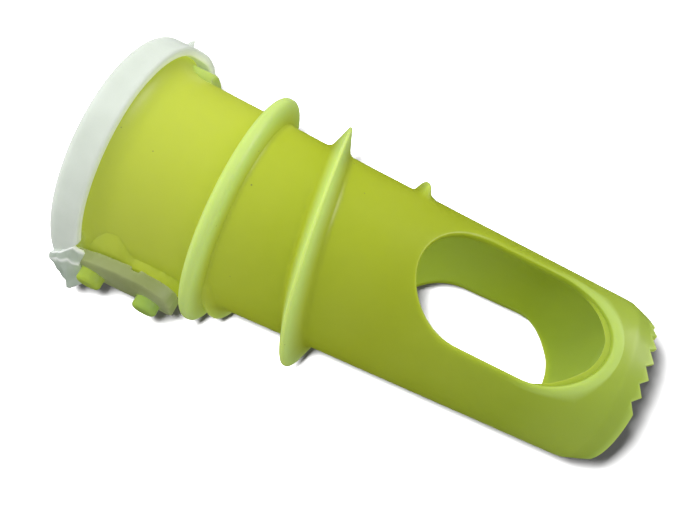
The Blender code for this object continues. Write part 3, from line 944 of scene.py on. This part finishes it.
def add_cap():
    """The flap: disc, skirt and pull tab in one."""
    radius, end = CAP_HIGH.z, CAP_HIGH.x
    outline = [(0.0, 6.0), (0.0, 14.0), (0.0, 20.0)]
    outline += [(CAP_EDGE + x, radius - CAP_EDGE + y) for x, y in
                [(CAP_EDGE * math.cos(math.radians(a)), CAP_EDGE * math.sin(math.radians(a)))
                 for a in range(180, 85, -15)]]
    outline += [(2.6, radius), (3.8, radius), (5.0, radius)]
    rounding = ((0.0, 0.5), (0.25, 0.43), (0.43, 0.25), (0.5, 0.0))
    outline += [(end - 0.5 + x, radius - 0.5 + y) for x, y in rounding]
    outline += [(end, CAP_SKIRT_INNER + 0.35), (end - 0.12, CAP_SKIRT_INNER + 0.1)]
    outline.append((end - 0.35, CAP_SKIRT_INNER))
    outline += [(4.4, CAP_SKIRT_INNER), (3.0, CAP_SKIRT_INNER), (CAP_DISC + 0.5, CAP_SKIRT_INNER)]
    outline += [(CAP_DISC + 0.12, CAP_SKIRT_INNER - 0.2), (CAP_DISC, CAP_SKIRT_INNER - 0.6)]
    outline += [(CAP_DISC, 20.0), (CAP_DISC, 12.0), (CAP_DISC, 5.0)]
    builder = bmesh.new()
    painted_light_and_creases = builder.verts.layers.float.new("painted_light_and_creases")
    rings = []
    for x, out in outline:
        ring = []
        for column in range(CAP_COLUMNS):
            angle = 2 * math.pi * column / CAP_COLUMNS
            at = x if x <= CAP_DISC else CAP_DISC + (x - CAP_DISC) * skirt_reach(angle)
            share = max(at - CAP_DISC, 0.0) / end
            drift = noise.noise(Vector((3 * math.cos(angle), 3 * math.sin(angle), x * 0.25)))
            place = point(at + 0.16 * share * drift, out + 0.1 * share * drift, angle)
            ring.append(builder.verts.new(place))
            # A painted highlight line along the skirt's inner rim edge.
            ring[-1][painted_light_and_creases] = 0.8 if x > end - 0.3 and out < CAP_SKIRT_INNER + 1.0 else 0.0
        rings.append(ring)
    for first, second in zip(rings, rings[1:]):
        for column in range(CAP_COLUMNS):
            after = (column + 1) % CAP_COLUMNS
            builder.faces.new((first[column], first[after], second[after], second[column]))
    for ring, x in ((rings[0], 0.0), (rings[-1], CAP_DISC)):
        centre = builder.verts.new((x * MM, 0.0, 0.0))
        for column in range(CAP_COLUMNS):
            builder.faces.new((ring[column], ring[(column + 1) % CAP_COLUMNS], centre))
    return add_object("flap_valve", builder, MILKY, smooth_angle=50)


def add_gate_nub():
    """The torn stub of the moulding gate on the skirt."""
    builder = bmesh.new()
    bmesh.ops.create_icosphere(builder, subdivisions=3, radius=1.0)
    for vert in builder.verts:
        height = vert.co.z
        torn = 1 + 0.25 * noise.noise(vert.co * 2.3)
        slim = 0.75 - 0.3 * height
        vert.co = Vector(((slim * vert.co.x + 0.4 * max(height, 0.0) ** 2) * torn, 0.45 * vert.co.y * torn,
                          0.3 + 1.1 * height))
    turn = math.radians(-64)
    outward = Matrix.Rotation(turn, 4, "X")
    base = Matrix.Translation(Vector(point(3.9, CAP_HIGH.z - 0.1, turn)))
    bmesh.ops.scale(builder, vec=(MM, MM, MM), verts=builder.verts)
    bmesh.ops.transform(builder, matrix=base @ outward, verts=builder.verts)
    return add_object("gate_stub", builder, MILKY)


WEB_THICK = 0.7
WEB_FINE = 10                         # fine steps between the cage's points
# The crumpled hinge, in rows from the cap's rim to the strap. Each point says how far along
# the bore it is, how far out on the strap's side, and how far across.
WEB_CAGE = (
    ((0.5, 25.3, 4.3), (0.3, 25.7, 3.4), (0.5, 25.1, -2.0), (0.7, 23.5, -9.2)),
    ((1.9, 25.3, 5.0), (0.5, 26.2, 3.1), (2.1, 27.2, -2.0), (2.4, 26.6, -7.4)),
    ((5.1, 23.8, 8.4), (3.8, 25.5, 4.4), (3.6, 27.4, -0.7), (3.4, 28.6, -5.2)),
    ((6.6, 23.2, 6.0), (5.8, 24.9, 3.0), (5.6, 25.2, -1.2), (5.4, 26.8, -4.8)),
)


def web_places():
    """The web's fine grid between the cage's points, with how near each place is to a crease."""
    last = len(WEB_CAGE) - 1
    for row in range(last * WEB_FINE + 1):
        first_row = min(row // WEB_FINE, last - 1)
        down = (row - first_row * WEB_FINE) / WEB_FINE
        line = []
        for column in range(last * WEB_FINE + 1):
            first = min(column // WEB_FINE, last - 1)
            right = (column - first * WEB_FINE) / WEB_FINE
            upper, lower = WEB_CAGE[first_row], WEB_CAGE[first_row + 1]
            top = Vector(upper[first]).lerp(Vector(upper[first + 1]), right)
            low = Vector(lower[first]).lerp(Vector(lower[first + 1]), right)
            x, out, across = top.lerp(low, down)
            along = first + right
            crease = 0.0
            if along < 1.5:
                crease = max(1 - along * 6, 1 - abs(along - 1) * 6, 0.0) * smooth(x / 1.5)
            crumple = noise.noise(Vector((x * 0.9, across * 0.5, 5.0))) * 0.35
            line.append((Vector((x, -(out + crumple), across)) * MM, crease))
        yield line


def add_hinge_web():
    """The living hinge: a crumpled gusset from the cap's rim to the strap, whitened along its creases."""
    builder = bmesh.new()
    painted_light_and_creases = builder.verts.layers.float.new("painted_light_and_creases")
    grid = []
    for line in web_places():
        made = [builder.verts.new(place) for place, crease in line]
        for vert, (place, crease) in zip(made, line):
            vert[painted_light_and_creases] = crease
        grid.append(made)
    for first, second in zip(grid, grid[1:]):
        for column in range(len(first) - 1):
            builder.faces.new((first[column], first[column + 1], second[column + 1], second[column]))
    web = add_object("living_hinge", builder, MILKY_WEB, smooth_angle=30)
    solid = web.modifiers.new("thickness", "SOLIDIFY")
    solid.thickness = WEB_THICK * MM
    solid.offset = 0.0
    apply_modifiers(web)
    return web


# ---------------------------------------------------------------- stage, light and camera

FLOOR_SIZE = 3.0
FLOOR_NEAR = 0.13                     # the floor's paint gets paler from here to FLOOR_FAR, in metres, because the lamp that casts the shadow reaches only the middle: painted shade under the object, painted light away from it
FLOOR_FAR = 0.45                      # because the lamp that casts the shadow reaches only the middle
FLOOR_PAINTED_SHADE = 0.17
FLOOR_PAINTED_LIGHT = 0.93
CAMERA_PLACE = (0.05803, -0.05223, 0.143)
CAMERA_RIGHT = Vector((0.9012, 0.4185, 0.1124))
CAMERA_UP = Vector((-0.4314, 0.8413, 0.3257))
CAMERA_LENS = 38.7357
WORLD_STRENGTH = 0.6
FILL_SIZE = 0.4
FILLS = (                             # wide soft lights without shadows
    ("over_tab", (0.50, 0.42, 0.35), 2.15),
    ("over_cap", (-0.45, 0.20, 0.40), 3.6),
    ("over_strap", (0.1, -0.6, 0.25), 1.1),
)
GLOSSY_FILL = "over_tab"              # the only one seen in reflections
DROP_OFFSET = 0.022                   # the shadow's lamp stands this far up and left of the camera
DROP_LEFT = 0.75                      # left against up
DROP_SIZE = 0.026
DROP_POWER = 7.0


def add_stage():
    mesh = bpy.data.meshes.new("floor")
    half = FLOOR_SIZE / 2
    level = cad_box[0][2] - 0.0001
    places = [(-half, -half, level), (half, -half, level), (half, half, level), (-half, half, level)]
    mesh.from_pydata(places, [], [(0, 1, 2, 3)])
    floor = bpy.data.objects.new("floor", mesh)
    bpy.context.scene.collection.objects.link(floor)
    material, tree, shader = principled("floor_painted_light_and_shade", (FLOOR_PAINTED_SHADE, FLOOR_PAINTED_SHADE, FLOOR_PAINTED_SHADE), 0.8)
    place = tree.nodes.new("ShaderNodeTexCoord").outputs["Object"]
    away = tree.nodes.new("ShaderNodeVectorMath")
    away.operation = "DISTANCE"
    tree.links.new(place, away.inputs[0])
    away.inputs[1].default_value = (LENGTH / 2 * MM, 0.0, level)
    # Painted shade near the object and painted light away from it.
    pale = add_range(tree, away.outputs["Value"], FLOOR_NEAR, FLOOR_FAR, FLOOR_PAINTED_SHADE, FLOOR_PAINTED_LIGHT)
    tree.links.new(pale, shader.inputs["Base Color"])
    shader.inputs["Specular IOR Level"].default_value = 0.0
    mesh.materials.append(material)
    floor.visible_glossy = False      # a white floor so near would wash out the object's underside
    floor.visible_diffuse = False
    return floor


def add_area_light(name, place, size, power):
    """A square soft light that looks at the object's middle."""
    light = bpy.data.lights.new(name, "AREA")
    light.size = size
    light.energy = power
    lamp = bpy.data.objects.new(name, light)
    bpy.context.scene.collection.objects.link(lamp)
    lamp.location = place
    away = Vector(place) - Vector((LENGTH / 2 * MM, 0.0, 0.0))
    lamp.rotation_euler = away.to_track_quat("Z", "Y").to_euler()
    return lamp


def link_to_floor(lamp, floor, state):
    """Lets the lamp light only the floor (INCLUDE), or everything but the floor (EXCLUDE)."""
    lit = bpy.data.collections.new(lamp.name + "_lit")
    lit.objects.link(floor)
    lit.collection_objects[0].light_linking.link_state = state
    lamp.light_linking.receiver_collection = lit


def add_lights(floor):
    """Shadowless fills for the object, and one lamp that lights only the floor, for the shadow."""
    for name, place, power in FILLS:
        fill = add_area_light(name, place, FILL_SIZE, power)
        fill.data.use_shadow = False
        fill.visible_glossy = name == GLOSSY_FILL
        link_to_floor(fill, floor, "EXCLUDE")
    beside = (CAMERA_UP - DROP_LEFT * CAMERA_RIGHT).normalized()
    place = Vector(CAMERA_PLACE) + beside * DROP_OFFSET
    drop = add_area_light("drop", place, DROP_SIZE, DROP_POWER)
    link_to_floor(drop, floor, "INCLUDE")
    world = bpy.data.worlds.new("studio")
    bpy.context.scene.world = world
    world.use_nodes = True
    background = world.node_tree.nodes["Background"]
    background.inputs["Color"].default_value = (1.0, 1.0, 1.0, 1.0)
    background.inputs["Strength"].default_value = WORLD_STRENGTH
    world.cycles_visibility.glossy = False
    bpy.context.scene.view_settings.view_transform = "Standard"


def add_camera():
    camera = bpy.data.cameras.new("camera")
    camera.lens = CAMERA_LENS
    camera.clip_start = 0.001
    view = bpy.data.objects.new("camera", camera)
    bpy.context.scene.collection.objects.link(view)
    back = CAMERA_RIGHT.cross(CAMERA_UP)
    turn = Matrix((CAMERA_RIGHT, CAMERA_UP, back)).transposed()
    view.matrix_world = Matrix.Translation(CAMERA_PLACE) @ turn.to_4x4()
    bpy.context.scene.camera = view


# ---------------------------------------------------------------- assembly

def settle(piece, body, slot, *nodes):
    """Puts a finished piece on its body, and hides the CAD nodes it stands for. The slot is not used."""
    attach(piece, body)
    if nodes:
        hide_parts(*nodes)


add_lights(add_stage())
add_camera()

shell = add_object("vent_moulding", build_body(), LIME, smooth_angle=38)
settle(shell, "vent_body", "lime_plastic",
       "tapered_tube", "mouth_collar", "toothed_tip", "stop_ring", "screw_thread")
settle(add_pad(), "vent_body", "lime_plastic", "strap_pad")
settle(add_lug(), "vent_body", "lime_plastic", "latch_lug")
front_peg, rear_peg = add_pegs()
settle(front_peg, "vent_body", "lime_plastic", "front_strap_peg")
settle(rear_peg, "vent_body", "lime_plastic", "rear_strap_peg")
settle(add_strap(), "vent_body", "milky_plastic", "retaining_strap")
settle(add_cap(), "flap", "milky_plastic", "flap_cap", "pull_tab")
settle(add_gate_nub(), "flap", "milky_plastic")

web = add_hinge_web()
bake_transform(web)
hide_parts("hinge_web")
